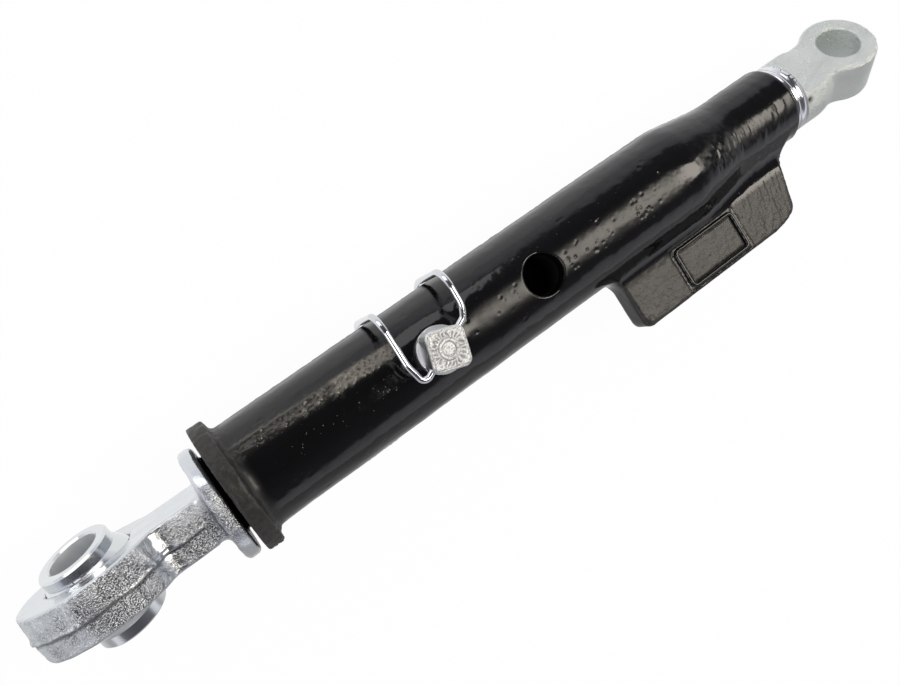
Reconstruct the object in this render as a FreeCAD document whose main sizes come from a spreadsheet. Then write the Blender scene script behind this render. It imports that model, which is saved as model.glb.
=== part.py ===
import FreeCAD, Part
import math
import os

import Sketcher

# Lower link stabilizer of a small tractor, in millimetres, +Z up.
# The origin is the centre of the plain eye's bore. X runs along the stabilizer, with the
# ball end towards -X. Z is the axis of the two cross holes, with the pin's head on top.

os.makedirs("parts", exist_ok=True)
doc = FreeCAD.newDocument("stabilizer")
V = FreeCAD.Vector

# Driving sizes
sheet = doc.addObject("Spreadsheet::Sheet", "Sizes")
SIZES = [
    ("eye_to_ball", 506.5),
    ("ball_to_flange", 70.5),
    ("flange_to_pin", 121.0),
    ("row_pitch", 68.5),
    ("eye_to_neck", 57.0),
    ("neck_length", 45.0),
    ("cone_length", 36.0),
    ("tube_dia", 58.0),
    ("tube_wall", 7.5),
    ("flange_lip", 6.75),
    ("flange_thick", 9.0),
    ("flange_fillet", 4.0),
    ("neck_step", 5.5),
    ("row_hole_dia", 22.4),
    ("lip_round", 1.2),
    ("lug_left", 203.0),
    ("lug_right", 83.2),
    ("lug_right_top", 73.0),
    ("lug_out", 33.5),
    ("lug_thick", 16.0),
    ("lug_corner", 5.0),
    ("lug_edge", 2.2),
    ("badge_length", 46.0),
    ("badge_width", 25.0),
    ("badge_centre", 143.5),
    ("badge_margin", 2.9),
    ("badge_bar", 2.2),
    ("badge_height", 1.1),
    ("bar_gap", 0.25),
    ("collar_gap", 2.5),
    ("collar_thick", 8.0),
    ("collar_inset", 4.5),
    ("bar_reach", 253.0),
    ("head_drop", 2.8),
    ("head_roll", 4.0),
    ("shank_inset", 10.25),
    ("forging_thick", 25.0),
    ("forging_draft", 4.0),
    ("boss_dia", 76.0),
    ("boss_corner", 9.0),
    ("ball_dia", 50.0),
    ("ball_gap", 0.3),
    ("ball_length", 45.4),
    ("ball_collar_dia", 37.2),
    ("ball_bore_dia", 25.4),
    ("ball_tilt", 14.2),
    ("ball_yaw", 4.5),
    ("float_out", 40.0),
    ("slot_side_gap", 0.4),
    ("pin_dia", 21.6),
    ("tail_out", 7.0),
    ("pin_collar_dia", 24.6),
    ("seat_rise", 4.5),
    ("head_side", 20.6),
    ("head_corner", 4.2),
    ("head_rise", 18.0),
    ("head_turn", 18.0),
    ("seat_gap", 0.3),
    ("wire_dia", 3.5),
    ("wire_gap", 0.3),
    ("wire_rise", 11.0),
    ("wire_turn", 25.0),
    ("clip_left", 20.0),
    ("clip_right", 19.6),
    ("clip_out", 3.8),
    ("eye_over", 0.9),
    ("eye_flat", 8.1),
    ("eye_bore_dia", 25.4),
    ("eye_roll", 39.0),
    ("rim_step", 1.9),
    ("eye_band", 9.0),
    ("neck_wall", 8.5),
    ("eye_waist", 15.0),
    ("eye_edge", 2.4),
    ("screw_gap", 0.3),
    ("screw_length", 60.0),
    ("rim_gap", 0.3),
]
for row, (alias, value) in enumerate(SIZES, 1):
    sheet.set("A%d" % row, alias)
    sheet.set("B%d" % row, str(value))
    sheet.setAlias("B%d" % row, alias)
doc.recompute()


def size(alias):
    return float(sheet.get(alias))


# Places along X that follow from the sizes
X_BALL = -size("eye_to_ball")
X_FLANGE = X_BALL + size("ball_to_flange")
X_PIN = X_FLANGE + size("flange_to_pin")
X_HOLE = X_PIN + size("row_pitch")
X_NECK_END = -size("eye_to_neck")
X_NECK = X_NECK_END - size("neck_length")
X_CONE = X_NECK - size("cone_length")
X_COLLAR = X_FLANGE - size("collar_gap")
X_COLLAR_OUT = X_COLLAR - size("collar_thick")

# Radii and reaches that follow from the tube, so that all that fits it stays in step
R_TUBE = size("tube_dia") / 2
R_BORE = R_TUBE - size("tube_wall")
R_FLANGE = R_TUBE + size("flange_lip")
R_NECK = R_TUBE - size("neck_step")
R_COLLAR = R_FLANGE - size("collar_inset")
R_SHANK = R_NECK - size("rim_step")
R_SCREW = R_NECK - size("neck_wall")
R_EYE = R_SHANK + size("eye_over")
EYE_HALF = R_SHANK - size("eye_flat")
LUG_REACH = R_TUBE + size("lug_out")
SHANK_HALF = R_COLLAR - size("shank_inset")


# Sketch and feature helpers
def new_body(label):
    body = doc.addObject("PartDesign::Body", "Body_" + label)
    body.Label = label
    return body


def plane(body, role):
    for item in body.Origin.OriginFeatures:
        if item.Role == role:
            return item
    raise RuntimeError("no plane " + role)


def new_sketch(body, role, name, lift=None, turn=0.0):
    sketch = body.newObject("Sketcher::SketchObject", name)
    sketch.AttachmentSupport = [(plane(body, role), "")]
    sketch.MapMode = "FlatFace"
    offset = FreeCAD.Placement(V(0, 0, 0), FreeCAD.Rotation(V(0, 0, 1), turn))
    if lift is not None:
        offset.Base = V(*lift)
    sketch.AttachmentOffset = offset
    return sketch


def line(sketch, a, b):
    return sketch.addGeometry(Part.LineSegment(V(a[0], a[1], 0), V(b[0], b[1], 0)), False)


def outline(sketch, points):
    first = None
    last = None
    for i, a in enumerate(points):
        b = points[(i + 1) % len(points)]
        last_new = line(sketch, a, b)
        if first is None:
            first = last_new
        else:
            sketch.addConstraint(Sketcher.Constraint("Coincident", last, 2, last_new, 1))
        last = last_new
    sketch.addConstraint(Sketcher.Constraint("Coincident", last, 2, first, 1))
    return first


def ring(sketch, x, y, radius, alias=None):
    g = sketch.addGeometry(Part.Circle(V(x, y, 0), V(0, 0, 1), radius), False)
    if alias:
        n = sketch.addConstraint(Sketcher.Constraint("Diameter", g, radius * 2))
        sketch.setExpression("Constraints[%d]" % n, "Sizes." + alias)
    return g


def arc(sketch, x, y, radius, start, end):
    circle = Part.Circle(V(x, y, 0), V(0, 0, 1), radius)
    return sketch.addGeometry(Part.ArcOfCircle(circle, math.radians(start), math.radians(end)), False)


def revolve(body, sketch, axis, kind="PartDesign::Revolution", name="Turned"):
    item = body.newObject(kind, name)
    item.Profile = sketch
    item.ReferenceAxis = (sketch, [axis])
    item.Angle = 360.0
    doc.recompute()
    return item


def pad(body, sketch, alias, name, midplane=False, kind="PartDesign::Pad"):
    item = body.newObject(kind, name)
    item.Profile = sketch
    item.Length = size(alias)
    item.setExpression("Length", "Sizes." + alias)
    item.Midplane = midplane
    doc.recompute()
    return item


def cut_through(body, sketch, name, midplane=True):
    item = body.newObject("PartDesign::Pocket", name)
    item.Profile = sketch
    item.Type = 1
    item.Midplane = midplane
    doc.recompute()
    return item


def soften(body, base, edges, radius, name, kind="PartDesign::Fillet"):
    item = body.newObject(kind, name)
    item.Base = (base, edges)
    if kind == "PartDesign::Fillet":
        item.Radius = radius
    else:
        item.Size = radius
    doc.recompute()
    return item


def edges_where(shape, test):
    return ["Edge%d" % (i + 1) for i, e in enumerate(shape.Edges) if test(e)]


def is_ring(edge, radius, x=None, tol=0.02):
    curve = edge.Curve
    if not isinstance(curve, Part.Circle) or abs(curve.Radius - radius) > tol:
        return False
    if x is None:
        return True
    return abs(curve.Center.x - x) < tol and abs(curve.Axis.x) > 0.99


# Outer casting: flange, round tube, neck and lug are one iron casting
casting = new_body("outer_casting")
profile = new_sketch(casting, "XZ_Plane", "CastingProfile")
r_tube = R_TUBE
r_flange = R_FLANGE
r_neck = R_NECK
outline(profile, [
    (X_FLANGE, 0),
    (X_FLANGE, r_flange),
    (X_FLANGE + size("flange_thick"), r_flange),
    (X_FLANGE + size("flange_thick"), r_tube),
    (X_CONE, r_tube),
    (X_NECK, r_neck),
    (X_NECK_END, r_neck),
    (X_NECK_END, 0),
])
turned = revolve(casting, profile, "H_Axis", name="CastingBody")
fillet = soften(
    casting, turned,
    edges_where(turned.Shape, lambda e: is_ring(e, r_tube, X_FLANGE + size("flange_thick"))),
    size("flange_fillet"), "FlangeFillet")
fillet.setExpression("Radius", "Sizes.flange_fillet")
doc.recompute()
rims = soften(
    casting, fillet,
    edges_where(fillet.Shape, lambda e: is_ring(e, r_flange)),
    1.6, "FlangeRim")
shoulder = soften(
    casting, rims,
    edges_where(rims.Shape, lambda e: is_ring(e, r_tube, X_CONE) or is_ring(e, r_neck, X_NECK)),
    24.0, "ShoulderBlend")
rim_round = soften(
    casting, shoulder,
    edges_where(shoulder.Shape, lambda e: is_ring(e, r_neck, X_NECK_END)),
    1.4, "NeckRim")

# Lug: a flat plate cast on the side of the tube, with a plain raised frame
lug = new_sketch(casting, "XY_Plane", "LugOutline")
outline(lug, [
    (-size("lug_left"), -12.0),
    (-size("lug_left"), -LUG_REACH),
    (-size("lug_right"), -LUG_REACH),
    (-size("lug_right_top") + 1.4, -R_NECK + 6.5),
    (-size("lug_right_top") + 1.4, -12.0),
])
plate = pad(casting, lug, "lug_thick", "LugPlate", midplane=True)


def lug_corner_edge(edge):
    box = edge.BoundBox
    return box.ZLength > size("lug_thick") * 0.95 and box.YLength < 0.01 and abs(
        box.YMin + LUG_REACH) < 0.05


corners = soften(
    casting, plate, edges_where(plate.Shape, lug_corner_edge), size("lug_corner"), "LugCorners")


def lug_face_edge(edge):
    box = edge.BoundBox
    flat = box.ZLength < 0.01 and abs(abs(box.ZMin) - size("lug_thick") / 2) < 0.01
    return flat and box.YMin < -size("tube_dia") / 2 - 1.0


softened = soften(
    casting, corners, edges_where(corners.Shape, lug_face_edge), size("lug_edge"), "LugEdges")

badge = new_sketch(casting, "XY_Plane", "BadgeFrame", (0, 0, size("lug_thick") / 2 - 0.5))
bx = -size("badge_centre")
bl = size("badge_length") / 2
by = -(LUG_REACH - size("badge_margin"))
bw = size("badge_width")
bb = size("badge_bar")
outline(badge, [(bx - bl, by), (bx + bl, by), (bx + bl, by + bw), (bx - bl, by + bw)])
outline(badge, [
    (bx - bl + bb, by + bb),
    (bx + bl - bb, by + bb),
    (bx + bl - bb, by + bw - bb),
    (bx - bl + bb, by + bw - bb),
])
raised = casting.newObject("PartDesign::Pad", "BadgeRaised")
raised.Profile = badge
raised.Length = size("badge_height") + 0.5
raised.setExpression("Length", "Sizes.badge_height + 0.5")
doc.recompute()

# Bores of the casting: a plain one for the slide bar, a narrower one for the screw
hollow = new_sketch(casting, "XZ_Plane", "CastingHollow")
r_bore = R_BORE
r_screw_hole = R_SCREW + size("screw_gap")
outline(hollow, [
    (X_FLANGE - 1.0, 0),
    (X_FLANGE - 1.0, r_bore + 2.5),
    (X_FLANGE + 1.5, r_bore),
    (X_CONE - 2.0, r_bore),
    (X_CONE + 6.0, r_screw_hole),
    (X_NECK_END + 1.0, r_screw_hole),
    (X_NECK_END + 1.0, 0),
])
hollowed = revolve(casting, hollow, "H_Axis", "PartDesign::Groove", "CastingBore")

# Cross holes for the lock pin
row = new_sketch(casting, "XY_Plane", "RowHoles")
ring(row, X_PIN, 0, size("row_hole_dia") / 2, "row_hole_dia")
ring(row, X_HOLE, 0, size("row_hole_dia") / 2, "row_hole_dia")
holes = cut_through(casting, row, "RowPocket")


def lip_edge(edge):
    box = edge.BoundBox
    mid = (box.XMin + box.XMax) / 2
    near = min(abs(mid - X_PIN), abs(mid - X_HOLE)) < 0.5
    return near and box.YLength > size("row_hole_dia") * 0.9 and max(abs(box.ZMin), abs(box.ZMax)) > r_tube - 0.5


lips = soften(casting, holes, edges_where(holes.Shape, lip_edge), size("lip_round"), "HoleLips")

# Slide bar: one forging with a round bar, a collar, a flat shank and the ball's housing
bar = new_body("slide_bar")
round_part = new_sketch(bar, "XZ_Plane", "BarProfile")
r_bar = r_bore - size("bar_gap")
x_bar_end = X_FLANGE + size("bar_reach")
outline(round_part, [
    (X_COLLAR_OUT + 3.0, 0),
    (X_COLLAR_OUT + 3.0, r_bar),
    (x_bar_end - 2.0, r_bar),
    (x_bar_end, r_bar - 2.0),
    (x_bar_end, 0),
])
bar_turned = revolve(bar, round_part, "H_Axis", name="BarTurned")

# The forged head, from the collar to the housing, sits a little off the round bar's axis
head_lift = (0, 0, size("head_drop"))
collar_part = new_sketch(bar, "XZ_Plane", "CollarProfile", head_lift)
outline(collar_part, [
    (X_COLLAR_OUT, 0),
    (X_COLLAR_OUT, R_COLLAR),
    (X_COLLAR, R_COLLAR),
    (X_COLLAR, 0),
])
collar_part.setExpression(".AttachmentOffset.Base.z", "Sizes.head_drop")
collar_turned = revolve(bar, collar_part, "H_Axis", name="CollarTurned")
collar_round = soften(
    bar, collar_turned,
    edges_where(collar_turned.Shape, lambda e: is_ring(e, R_COLLAR)),
    2.6, "CollarRound")
blank = new_sketch(bar, "XZ_Plane", "ForgingOutline", head_lift)
blank.setExpression(".AttachmentOffset.Base.z", "Sizes.head_drop")
r_boss = size("boss_dia") / 2
half = SHANK_HALF
turn_in = math.degrees(math.asin(half / r_boss))
x_meet = X_BALL + math.sqrt(r_boss ** 2 - half ** 2)
a0 = arc(blank, X_BALL, 0, r_boss, turn_in, 360.0 - turn_in)
l1 = line(blank, (x_meet, -half), (X_COLLAR_OUT + 1.0, -half))
l2 = line(blank, (X_COLLAR_OUT + 1.0, -half), (X_COLLAR_OUT + 1.0, half))
l3 = line(blank, (X_COLLAR_OUT + 1.0, half), (x_meet, half))
for first, second in ((a0, l1), (l1, l2), (l2, l3)):
    blank.addConstraint(Sketcher.Constraint("Coincident", first, 2, second, 1))
blank.addConstraint(Sketcher.Constraint("Coincident", l3, 2, a0, 1))
forged = bar.newObject("PartDesign::Pad", "ForgedBlade")
forged.Profile = blank
forged.SideType = "Two sides"
forged.Length = size("forging_thick") / 2
forged.Length2 = size("forging_thick") / 2
forged.setExpression("Length", "Sizes.forging_thick / 2")
forged.setExpression("Length2", "Sizes.forging_thick / 2")
forged.TaperAngle = -size("forging_draft")
forged.TaperAngle2 = -size("forging_draft")
doc.recompute()


def boss_corner_edge(edge):
    box = edge.BoundBox
    if box.YLength < size("forging_thick") * 0.4:
        return False
    near_x = abs((box.XMin + box.XMax) / 2 - x_meet) < 3.0
    near_z = abs(abs((box.ZMin + box.ZMax) / 2) - half) < 3.0
    return near_x and near_z


boss_blend = soften(
    bar, forged, edges_where(forged.Shape, boss_corner_edge), size("boss_corner"), "BossCorners")


def blade_rim_edge(edge):
    box = edge.BoundBox
    off_middle = abs(box.YMin + size("head_drop"))
    flat = box.YLength < 0.01 and abs(off_middle - size("forging_thick") / 2) < 0.01
    return flat and (box.ZLength > 1.0 or box.XLength > 1.0) and box.XMax < X_COLLAR_OUT + 0.5


blade_soft = soften(
    bar, boss_blend, edges_where(boss_blend.Shape, blade_rim_edge), 1.2, "BladeEdges")


# Spherical seat for the ball, open on both faces of the housing
seat = new_sketch(bar, "XY_Plane", "SeatArc")
r_seat = size("ball_dia") / 2 + size("ball_gap")
y_seat = -size("head_drop")
seat_arc = arc(seat, X_BALL, y_seat, r_seat, -90.0, 90.0)
seat_line = line(seat, (X_BALL, y_seat + r_seat), (X_BALL, y_seat - r_seat))
seat.addConstraint(Sketcher.Constraint("Coincident", seat_arc, 2, seat_line, 1))
seat.addConstraint(Sketcher.Constraint("Coincident", seat_line, 2, seat_arc, 1))
seat_axis = seat.addGeometry(Part.LineSegment(V(X_BALL, -60, 0), V(X_BALL, 60, 0)), True)
seat_cut = revolve(bar, seat, "Axis0", "PartDesign::Groove", "BallSeat")

# Long slot that lets the bar float on the pin, and the round lock hole further in
slot = new_sketch(bar, "XY_Plane", "FloatSlot")
slot.AttachmentOffset = FreeCAD.Placement(
    V(0, 0, 0), FreeCAD.Rotation(V(1, 0, 0), -size("head_roll")))
r_slot = size("pin_dia") / 2 + size("slot_side_gap")
slot_out = X_PIN - size("collar_gap") - 0.2
slot_in = X_PIN + size("float_out") + 0.3
s1 = arc(slot, slot_out, 0, r_slot, 90.0, 270.0)
s2 = line(slot, (slot_out, -r_slot), (slot_in, -r_slot))
s3 = arc(slot, slot_in, 0, r_slot, -90.0, 90.0)
s4 = line(slot, (slot_in, r_slot), (slot_out, r_slot))
for first, second in ((s1, s2), (s2, s3), (s3, s4), (s4, s1)):
    slot.addConstraint(Sketcher.Constraint("Coincident", first, 2, second, 1))
ring(slot, X_HOLE, 0, size("row_hole_dia") / 2, "row_hole_dia")
slotted = cut_through(bar, slot, "SlotPocket")

# The head is rolled a little against the slot, which itself stays in line with the pin
bar.Placement = FreeCAD.Placement(V(0, 0, 0), FreeCAD.Rotation(V(1, 0, 0), size("head_roll")))
bar.setExpression(".Placement.Rotation.Angle", "Sizes.head_roll * 1 deg")
doc.recompute()

# Swivel ball: turned bush with a collar on each side, free to tilt in its seat
ball = new_body("swivel_ball")
ball_sketch = new_sketch(ball, "XY_Plane", "BallProfile")
r_ball = size("ball_dia") / 2
r_col = size("ball_collar_dia") / 2
r_hole = size("ball_bore_dia") / 2
y_end = size("ball_length") / 2
y_col = math.sqrt(r_ball ** 2 - r_col ** 2)
reach = math.degrees(math.asin(y_col / r_ball))
b1 = arc(ball_sketch, 0, 0, r_ball, -reach, reach)
ch = 1.0
b2 = line(ball_sketch, (r_col, y_col), (r_col, y_end - ch))
b3 = line(ball_sketch, (r_col, y_end - ch), (r_col - ch, y_end))
b4 = line(ball_sketch, (r_col - ch, y_end), (r_hole + ch, y_end))
b5 = line(ball_sketch, (r_hole + ch, y_end), (r_hole, y_end - ch))
b6 = line(ball_sketch, (r_hole, y_end - ch), (r_hole, -y_end + ch))
b7 = line(ball_sketch, (r_hole, -y_end + ch), (r_hole + ch, -y_end))
b8 = line(ball_sketch, (r_hole + ch, -y_end), (r_col - ch, -y_end))
b9 = line(ball_sketch, (r_col - ch, -y_end), (r_col, -y_end + ch))
b10 = line(ball_sketch, (r_col, -y_end + ch), (r_col, -y_col))
order = (b1, b2, b3, b4, b5, b6, b7, b8, b9, b10, b1)
for first, second in zip(order[:-1], order[1:]):
    ball_sketch.addConstraint(Sketcher.Constraint("Coincident", first, 2, second, 1))
ball_turned = revolve(ball, ball_sketch, "V_Axis", name="BallTurned")
seat_centre = bar.Placement.multVec(V(X_BALL, -size("head_drop"), 0))
tilt = FreeCAD.Rotation(V(1, 0, 0), size("ball_tilt"))
lean = FreeCAD.Rotation(V(0, 0, 1), size("ball_yaw"))
ball.Placement = FreeCAD.Placement(seat_centre, lean.multiply(tilt))
doc.recompute()

# Lock pin: round shank with a seating collar and a square head
pin = new_body("lock_pin")
pin_sketch = new_sketch(pin, "XZ_Plane", "PinProfile")
r_pin = size("pin_dia") / 2
r_pc = size("pin_collar_dia") / 2
z_seat = r_tube + size("seat_gap")
z_tail = -(r_tube + size("tail_out"))
z_collar = r_tube + size("seat_rise")
z_head = r_tube + size("head_rise")
z_wire = r_tube + size("wire_rise")
outline(pin_sketch, [
    (0, z_tail),
    (r_pin - 2.0, z_tail),
    (r_pin, z_tail + 3.0),
    (r_pin, z_seat),
    (r_pc, z_seat),
    (r_pc, z_collar),
    (0, z_collar),
])
pin_turned = revolve(pin, pin_sketch, "V_Axis", name="PinTurned")
head = new_sketch(pin, "XY_Plane", "HeadSquare", (0, 0, z_collar - 1.0), -size("head_turn"))
hs = size("head_side") / 2
hc = size("head_corner")
inner = hs - hc
h1 = line(head, (-inner, -hs), (inner, -hs))
h2 = arc(head, inner, -inner, hc, -90.0, 0.0)
h3 = line(head, (hs, -inner), (hs, inner))
h4 = arc(head, inner, inner, hc, 0.0, 90.0)
h5 = line(head, (inner, hs), (-inner, hs))
h6 = arc(head, -inner, inner, hc, 90.0, 180.0)
h7 = line(head, (-hs, inner), (-hs, -inner))
h8 = arc(head, -inner, -inner, hc, 180.0, 270.0)
round_square = (h1, h2, h3, h4, h5, h6, h7, h8, h1)
for first, second in zip(round_square[:-1], round_square[1:]):
    head.addConstraint(Sketcher.Constraint("Coincident", first, 2, second, 1))
head_pad = pin.newObject("PartDesign::Pad", "HeadPad")
head_pad.Profile = head
head_pad.Length = z_head - z_collar + 1.0
head_pad.setExpression("Length", "Sizes.head_rise - Sizes.seat_rise + 1.0")
doc.recompute()


def head_top_edge(edge):
    box = edge.BoundBox
    return box.ZLength < 0.01 and abs(box.ZMin - z_head) < 0.01


head_soft = soften(
    pin, head_pad, edges_where(head_pad.Shape, head_top_edge), 1.3, "HeadTopRound")
mark = new_sketch(pin, "XY_Plane", "HeadRing", (0, 0, z_head - 0.6))
ring(mark, 0, 0, 5.2)
ring(mark, 0, 0, 3.9)
mark_cut = pin.newObject("PartDesign::Pad", "HeadRingPad")
mark_cut.Profile = mark
mark_cut.Length = 1.1
doc.recompute()
wire_hole = new_sketch(pin, "YZ_Plane", "WireHole")
wire_hole.AttachmentOffset = FreeCAD.Placement(
    V(0, 0, 0), FreeCAD.Rotation(V(0, 1, 0), size("wire_turn")))
ring(wire_hole, 0, z_wire, size("wire_dia") / 2 + size("wire_gap"))
wire_cut = cut_through(pin, wire_hole, "WirePocket")
pin.Placement = FreeCAD.Placement(V(X_PIN, 0, 0), FreeCAD.Rotation())
pin.setExpression(".Placement.Base.x", "-Sizes.eye_to_ball + Sizes.ball_to_flange + Sizes.flange_to_pin")
doc.recompute()


# Wire clip: one wire through the pin's head, round the tube's side and under the pin's tail
def bent_path(points, radii):
    edges = []
    start = points[0]
    for i in range(1, len(points) - 1):
        a, b, c = points[i - 1], points[i], points[i + 1]
        u = (a - b).normalize()
        w = (c - b).normalize()
        angle = u.getAngle(w)
        cut = radii[i] / math.tan(angle / 2)
        p1 = b + u * cut
        p2 = b + w * cut
        middle = b + (u + w).normalize() * (radii[i] / math.sin(angle / 2) - radii[i])
        edges.append(Part.makeLine(start, p1))
        edges.append(Part.Arc(p1, middle, p2).toShape())
        start = p2
    edges.append(Part.makeLine(start, points[-1]))
    return Part.Wire(edges)


c25 = math.cos(math.radians(size("wire_turn")))
s25 = math.sin(math.radians(size("wire_turn")))
xl = X_PIN - size("clip_left")
xr = X_PIN + size("clip_right")
zw = z_wire
yo = r_tube + size("clip_out")
zb = z_tail - size("seat_gap") - size("wire_dia") / 2
wrap = r_tube + size("wire_dia") / 2 + 0.3
path_points = [
    V(X_PIN - 8.0 * c25, -8.0 * s25, zw),
    V(X_PIN - 19.5 * c25, -19.5 * s25, zw),
    V(xl - 0.6, 4.0, zw + 2.0),
    V(xl, yo, zw + 3.0),
    V(xl, wrap, -9.0),
    V(xl, 0.635 * wrap, -0.955 * wrap),
    V(xl, 12.0, zb),
    V(xl, 0, zb),
    V(xr, 0, zb),
    V(xr, 12.0, zb),
    V(xr, 0.635 * wrap, -0.955 * wrap),
    V(xr, wrap, -9.0),
    V(xr, yo, zw + 2.0),
    V(xr - 0.6, 12.5, zw + 0.6),
    V(X_PIN + 17.8 * c25, 17.8 * s25, zw),
    V(X_PIN + 8.0 * c25, 8.0 * s25, zw),
]
path_radii = [0, 3.6, 14.0, 10.0, 28.0, 14.0, 9.0, 5.0, 5.0, 9.0, 14.0, 28.0, 10.0, 14.0, 3.2, 0]
spine = doc.addObject("Part::Feature", "ClipPath")
spine.Shape = bent_path(path_points, path_radii)
section = doc.addObject("Part::Circle", "ClipSection")
section.Radius = size("wire_dia") / 2
section.setExpression("Radius", "Sizes.wire_dia / 2")
start_way = (path_points[1] - path_points[0]).normalize()
section.Placement = FreeCAD.Placement(path_points[0], FreeCAD.Rotation(V(0, 0, 1), start_way))
clip = doc.addObject("Part::Sweep", "wire_clip")
clip.Sections = [section]
clip.Spine = (spine, ["Edge%d" % (i + 1) for i in range(len(spine.Shape.Edges))])
clip.Solid = True
clip.Frenet = False
clip.Transition = "Right corner"
clip.Label = "wire_clip"
doc.recompute()

# Screw eye: forged plain eye whose threaded shank is screwed into the casting's neck
eye = new_body("screw_eye")
r_shank = R_SHANK
ht = EYE_HALF
r_eye = R_EYE
r_waist = size("eye_waist")
half_waist = math.sqrt(r_shank ** 2 - ht ** 2) - 0.45
y_arc = half_waist + r_waist
x_arc = -math.sqrt((r_eye + r_waist) ** 2 - y_arc ** 2)
turn = math.degrees(math.atan2(y_arc, -x_arc))
plan = new_sketch(eye, "XY_Plane", "EyePlan")
x_root = x_arc - 9.5
g1 = arc(plan, 0, 0, r_eye, turn - 180.0, 180.0 - turn)
g2 = arc(plan, x_arc, y_arc, r_waist, -90.0, -turn)
g3 = line(plan, (x_arc, half_waist), (x_root, half_waist))
g4 = line(plan, (x_root, half_waist), (x_root, -half_waist))
g5 = line(plan, (x_root, -half_waist), (x_arc, -half_waist))
g6 = arc(plan, x_arc, -y_arc, r_waist, turn, 90.0)
for first, end, second, start in (
        (g1, 2, g2, 2), (g2, 1, g3, 1), (g3, 2, g4, 1), (g4, 2, g5, 1), (g5, 2, g6, 2), (g6, 1, g1, 1)):
    plan.addConstraint(Sketcher.Constraint("Coincident", first, end, second, start))
eye_pad = eye.newObject("PartDesign::Pad", "EyeForged")
eye_pad.Profile = plan
eye_pad.Length = 2 * ht
eye_pad.Midplane = True
doc.recompute()


def eye_rim_edge(edge):
    box = edge.BoundBox
    flat = box.ZLength < 0.01 and abs(abs(box.ZMin) - ht) < 0.01
    return flat and box.XMax > x_root + 0.1


eye_rims = soften(
    eye, eye_pad, edges_where(eye_pad.Shape, eye_rim_edge), size("eye_edge"), "EyeEdges")
eye_profile = new_sketch(eye, "XZ_Plane", "EyeShank")
r_screw = R_SCREW
x_rim = X_NECK_END + size("rim_gap")
x_band = x_rim + size("eye_band")
dome = size("eye_waist") + 3.0
x_dome = x_root - 4.0
drop = r_shank - ht + 0.5
r_dome = (dome ** 2 + drop ** 2) / (2 * drop)
dome_end = math.degrees(math.acos(dome / r_dome))
e0 = [
    (x_dome + dome, 0),
    (x_rim - size("screw_length"), 0),
    (x_rim - size("screw_length"), r_screw - 2.0),
    (x_rim - size("screw_length") + 2.0, r_screw),
    (x_rim, r_screw),
    (x_rim, r_shank - 1.6),
    (x_rim + 1.4, r_shank),
    (x_rim + 3.2, r_shank),
    (x_rim + 4.0, r_shank - 1.0),
    (x_rim + 4.8, r_shank),
    (x_dome, r_shank),
]
steps = [line(eye_profile, a, b) for a, b in zip(e0[:-1], e0[1:])]
steps.append(arc(eye_profile, x_dome, r_shank - r_dome, r_dome, dome_end, 90.0))
steps.append(line(eye_profile, (x_dome + dome, r_shank - drop), (x_dome + dome, 0)))
for first, second in zip(steps[:-3], steps[1:-2]):
    eye_profile.addConstraint(Sketcher.Constraint("Coincident", first, 2, second, 1))
eye_profile.addConstraint(Sketcher.Constraint("Coincident", steps[-3], 2, steps[-2], 2))
eye_profile.addConstraint(Sketcher.Constraint("Coincident", steps[-2], 1, steps[-1], 1))
eye_profile.addConstraint(Sketcher.Constraint("Coincident", steps[-1], 2, steps[0], 1))
eye_turned = revolve(eye, eye_profile, "H_Axis", name="EyeTurned")
side_cut = new_sketch(eye, "XZ_Plane", "EyeFlats")
outline(side_cut, [(x_band, ht), (10.0, ht), (10.0, 40.0), (x_band, 40.0)])
outline(side_cut, [(x_band, -ht), (10.0, -ht), (10.0, -40.0), (x_band, -40.0)])
flats = cut_through(eye, side_cut, "EyeFlatsPocket")


def shoulder_edge(edge):
    box = edge.BoundBox
    flat = box.ZLength < 0.01 and abs(abs(box.ZMin) - ht) < 0.01
    return flat and box.XLength < 0.01 and abs(box.XMin - x_band) < 0.01


shoulder_soft = soften(
    eye, flats, edges_where(flats.Shape, shoulder_edge), 5.0, "EyeShoulder")
eye_bore = new_sketch(eye, "XY_Plane", "EyeBore")
ring(eye_bore, 0, 0, size("eye_bore_dia") / 2, "eye_bore_dia")
bored = cut_through(eye, eye_bore, "EyeBorePocket")


def bore_lip(edge):
    curve = edge.Curve
    return isinstance(curve, Part.Circle) and abs(curve.Radius - size("eye_bore_dia") / 2) < 0.01


bore_soft = soften(
    eye, bored, edges_where(bored.Shape, bore_lip), 1.0, "EyeBoreRound")
eye.Placement = FreeCAD.Placement(V(0, 0, 0), FreeCAD.Rotation(V(1, 0, 0), -size("eye_roll")))
eye.setExpression(".Placement.Rotation.Angle", "Sizes.eye_roll * -1 deg")
doc.recompute()

# Every feature must have been rebuilt, and every piece is one valid solid
for item in doc.Objects:
    if "Invalid" in item.State or "Error" in item.State:
        raise RuntimeError("failed feature " + item.Name)

for piece in (casting, bar, ball, pin, clip, eye):
    shape = piece.Shape
    if shape.isNull() or not shape.isValid() or len(shape.Solids) != 1:
        raise RuntimeError("bad shape " + piece.Label)
    shape.exportStep("parts/%s.step" % piece.Label)
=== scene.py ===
import math

import bmesh
import bpy
import numpy as np
from mathutils import Matrix, Vector


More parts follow.
